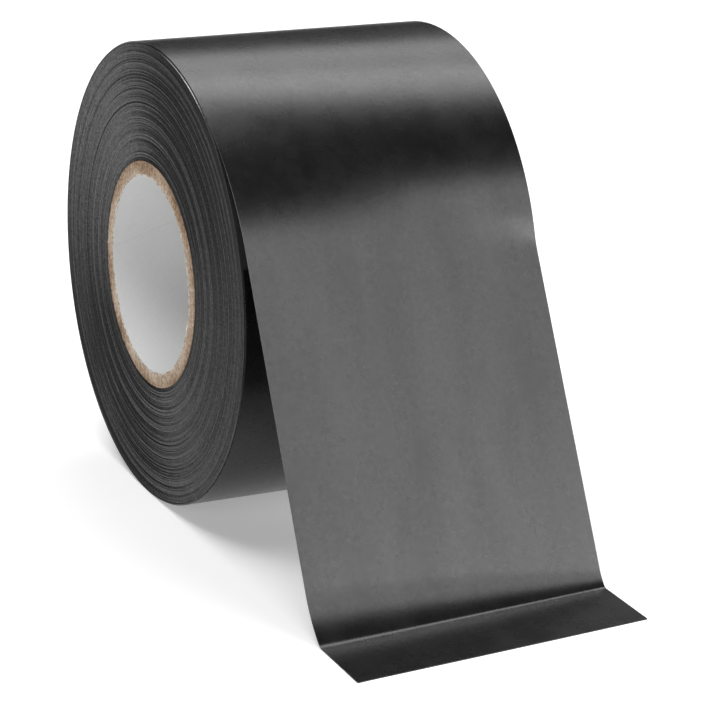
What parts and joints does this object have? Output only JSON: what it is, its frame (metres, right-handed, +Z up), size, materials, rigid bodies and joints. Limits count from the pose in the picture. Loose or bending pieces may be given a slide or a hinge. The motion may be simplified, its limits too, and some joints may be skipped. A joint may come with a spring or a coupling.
{
  "type": "electrical tape roll",
  "caption": "Wide roll of black vinyl electrical tape wound on a paperboard core, lying on its side with the tape's end peeled off and folded to a flat flap.",
  "frame": {"origin": "the point of the resting surface under the roll's axis, at the middle of the tape's width", "axes": "+Z up, the roll's axis runs along X, and the peeled tail leaves the roll towards -Y and lies on the surface there"},
  "size_m": [0.0508, 0.1145, 0.0755],
  "materials": {
    "liner_paper": "matte grey liner paper, spiral seam",
    "kraft_board": "matte kraft paperboard, cut edge slightly fibrous",
    "wound_tape": "slit edges of the wound turns, fine concentric lines, satin",
    "vinyl_film": "black calendered soft vinyl, satin",
    "adhesive": "black pressure-sensitive rubber adhesive, glossy and tacky"
  },
  "bodies": {
    "roll": {"core_liner": "liner_paper", "core_kraft_ply_1": "kraft_board", "core_kraft_ply_2": "kraft_board", "core_kraft_ply_3": "kraft_board", "core_kraft_ply_4": "kraft_board", "core_kraft_ply_5": "kraft_board", "wound_tape_pack": "wound_tape", "outer_wrap_film": "vinyl_film", "outer_wrap_adhesive": "adhesive"},
    "tail": {"tail_film": "vinyl_film", "tail_adhesive": "adhesive"},
    "flap": {"flap_film": "vinyl_film", "flap_adhesive": "adhesive"}
  },
  "joints": [
    {"name": "tail_lift", "type": "hinge", "parent": "roll", "child": "tail", "pos_m": [0, -0.03353, 0.05522], "axis": [-1, 0, 0], "range_deg": [0, 90]},
    {"name": "flap_fold", "type": "hinge", "parent": "tail", "child": "flap", "pos_m": [0, -0.06246, 0.00064], "axis": [-1, 0, 0], "range_deg": [0, 105]}
  ]
}
